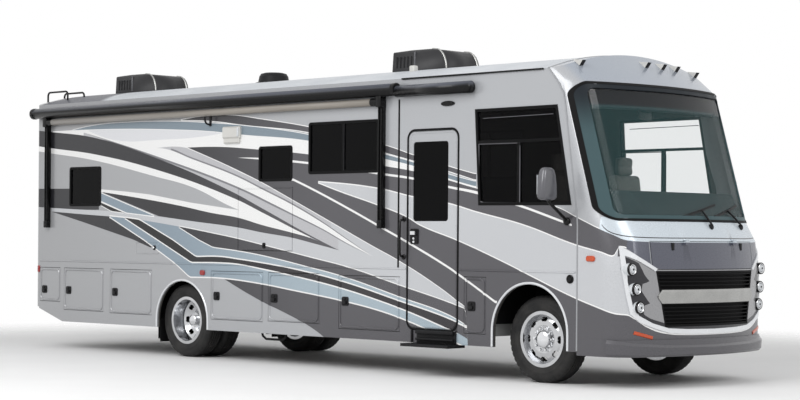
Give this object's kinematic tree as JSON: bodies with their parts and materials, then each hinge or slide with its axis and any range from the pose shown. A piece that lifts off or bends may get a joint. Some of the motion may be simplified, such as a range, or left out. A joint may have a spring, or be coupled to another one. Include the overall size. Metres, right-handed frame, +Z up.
{
  "type": "motorhome",
  "caption": "Class A motorhome on a truck chassis with a boxy coach body, steering front wheels, twin rear wheels, an entry door, storage bay doors, a front hood and a roof awning.",
  "frame": {"origin": "on the ground under the middle of the overall box", "axes": "+X forward, +Y to the vehicle's left, +Z up"},
  "size_m": [10.48, 3.44, 3.74],
  "materials": {
    "paint_silver": "gloss metallic",
    "paint_charcoal": "gloss metallic",
    "roof_white": "satin",
    "black_steel": "satin",
    "black_plastic": "matte",
    "grey_plastic": "matte",
    "dark_glass": "tinted",
    "clear_glass": "tinted",
    "lamp_lens": "clear",
    "red_lens": "gloss",
    "polished_rim": "polished",
    "tyre_rubber": "matte",
    "cast_parts": "painted",
    "floor_board": "satin",
    "seat_cover": "soft",
    "awning_cloth": "rolled"
  },
  "bodies": {
    "coach": {"chassis_frame": "black_steel", "hitch_receiver": "black_steel", "floor": "floor_board", "wall_right": "paint_silver", "wall_left": "paint_silver", "rear_cap": "paint_silver", "roof": "roof_white", "front_cap": "paint_silver", "front_bumper": "paint_charcoal", "windshield": "clear_glass", "grille": "black_plastic", "headlamps": "lamp_lens", "tail_lamps": "red_lens", "side_windows": "dark_glass", "window_frames": "black_plastic", "skirt_right": "paint_charcoal", "skirt_left": "paint_charcoal", "storage_bays": "grey_plastic", "entry_steps": "black_steel", "wheel_wells": "black_plastic", "air_conditioners": "black_plastic", "roof_vent": "black_plastic", "awning": "black_steel", "awning_roller": "awning_cloth", "ladder": "black_steel", "mirrors": "grey_plastic", "wipers": "black_plastic", "dashboard": "black_plastic", "steering_wheel": "black_plastic", "seats": "seat_cover", "engine": "cast_parts", "fuel_tank": "black_plastic", "axles": "cast_parts"},
    "hood": {"hood": "paint_charcoal"},
    "entry_door": {"entry_door": "paint_charcoal", "entry_door_glass": "dark_glass"},
    "tv_hatch": {"tv_hatch": "paint_silver"},
    "knuckle_right": {"knuckle_right": "cast_parts"},
    "wheel_front_right": {"rim_front_right": "polished_rim", "tyre_front_right": "tyre_rubber"},
    "wheel_rear_right": {"rim_rear_right": "polished_rim", "tyre_rear_right": "tyre_rubber"},
    "knuckle_left": {"knuckle_left": "cast_parts"},
    "wheel_front_left": {"rim_front_left": "polished_rim", "tyre_front_left": "tyre_rubber"},
    "wheel_rear_left": {"rim_rear_left": "polished_rim", "tyre_rear_left": "tyre_rubber"},
    "bay_door_right_1": {"bay_door_right_1": "paint_charcoal"},
    "bay_door_right_2": {"bay_door_right_2": "paint_charcoal"},
    "bay_door_right_3": {"bay_door_right_3": "paint_charcoal"},
    "bay_door_right_4": {"bay_door_right_4": "paint_charcoal"},
    "bay_door_right_5": {"bay_door_right_5": "paint_charcoal"},
    "bay_door_right_6": {"bay_door_right_6": "paint_charcoal"},
    "bay_door_right_7": {"bay_door_right_7": "paint_charcoal"},
    "bay_door_left_1": {"bay_door_left_1": "paint_charcoal"},
    "bay_door_left_2": {"bay_door_left_2": "paint_charcoal"},
    "bay_door_left_3": {"bay_door_left_3": "paint_charcoal"}
  },
  "joints": [
    {"name": "steer_right", "type": "hinge", "parent": "coach", "child": "knuckle_right", "pos_m": [3.81, -0.86, 0.46], "axis": [0, 0, 1], "range_deg": [-40, 40]},
    {"name": "spin_front_right", "type": "hinge", "parent": "knuckle_right", "child": "wheel_front_right", "pos_m": [3.81, -0.985, 0.46], "axis": [0, 1, 0], "continuous": true},
    {"name": "spin_rear_right", "type": "hinge", "parent": "coach", "child": "wheel_rear_right", "pos_m": [-1.98, -1.065, 0.46], "axis": [0, 1, 0], "continuous": true},
    {"name": "steer_left", "type": "hinge", "parent": "coach", "child": "knuckle_left", "pos_m": [3.81, 0.86, 0.46], "axis": [0, 0, 1], "range_deg": [-40, 40]},
    {"name": "spin_front_left", "type": "hinge", "parent": "knuckle_left", "child": "wheel_front_left", "pos_m": [3.81, 0.985, 0.46], "axis": [0, 1, 0], "continuous": true},
    {"name": "spin_rear_left", "type": "hinge", "parent": "coach", "child": "wheel_rear_left", "pos_m": [-1.98, 1.065, 0.46], "axis": [0, 1, 0], "continuous": true},
    {"name": "entry_door_hinge", "type": "hinge", "parent": "coach", "child": "entry_door", "pos_m": [2.7406, -1.275, 1.6], "axis": [0, 0, 1], "range_deg": [0, 95]},
    {"name": "tv_hatch_hinge", "type": "hinge", "parent": "coach", "child": "tv_hatch", "pos_m": [-0.4005, -1.275, 2.1036], "axis": [-1, 0, 0], "range_deg": [0, 90]},
    {"name": "hood_hinge", "type": "hinge", "parent": "coach", "child": "hood", "pos_m": [5.186, 0, 1.504], "axis": [0, -1, 0], "range_deg": [0, 70]},
    {"name": "bay_door_right_1_hinge", "type": "hinge", "parent": "coach", "child": "bay_door_right_1", "pos_m": [-4.5584, -1.275, 0.8535], "axis": [0, 0, 1], "range_deg": [0, 95]},
    {"name": "bay_door_right_2_hinge", "type": "hinge", "parent": "coach", "child": "bay_door_right_2", "pos_m": [-3.5954, -1.275, 0.801], "axis": [0, 0, 1], "range_deg": [0, 95]},
    {"name": "bay_door_right_3_hinge", "type": "hinge", "parent": "coach", "child": "bay_door_right_3", "pos_m": [-2.5734, -1.275, 0.7955], "axis": [0, 0, 1], "range_deg": [0, 95]},
    {"name": "bay_door_right_4_hinge", "type": "hinge", "parent": "coach", "child": "bay_door_right_4", "pos_m": [-0.4304, -1.275, 0.7945], "axis": [0, 0, 1], "range_deg": [0, 95]},
    {"name": "bay_door_right_5_hinge", "type": "hinge", "parent": "coach", "child": "bay_door_right_5", "pos_m": [0.5606, -1.275, 0.8015], "axis": [0, 0, 1], "range_deg": [0, 95]},
    {"name": "bay_door_right_6_hinge", "type": "hinge", "parent": "coach", "child": "bay_door_right_6", "pos_m": [1.8756, -1.275, 0.7755], "axis": [0, 0, 1], "range_deg": [0, 95]},
    {"name": "bay_door_right_7_hinge", "type": "hinge", "parent": "coach", "child": "bay_door_right_7", "pos_m": [3.1656, -1.275, 0.7965], "axis": [0, 0, 1], "range_deg": [0, 95]},
    {"name": "bay_door_left_1_hinge", "type": "hinge", "parent": "coach", "child": "bay_door_left_1", "pos_m": [-2.5734, 1.275, 0.801], "axis": [0, 0, -1], "range_deg": [0, 95]},
    {"name": "bay_door_left_2_hinge", "type": "hinge", "parent": "coach", "child": "bay_door_left_2", "pos_m": [0.5606, 1.275, 0.7945], "axis": [0, 0, -1], "range_deg": [0, 95]},
    {"name": "bay_door_left_3_hinge", "type": "hinge", "parent": "coach", "child": "bay_door_left_3", "pos_m": [2.6946, 1.275, 0.7755], "axis": [0, 0, -1], "range_deg": [0, 95]}
  ],
  "couplings": [
    {"joint": "steer_left", "follows": "steer_right", "ratio": 1}
  ]
}
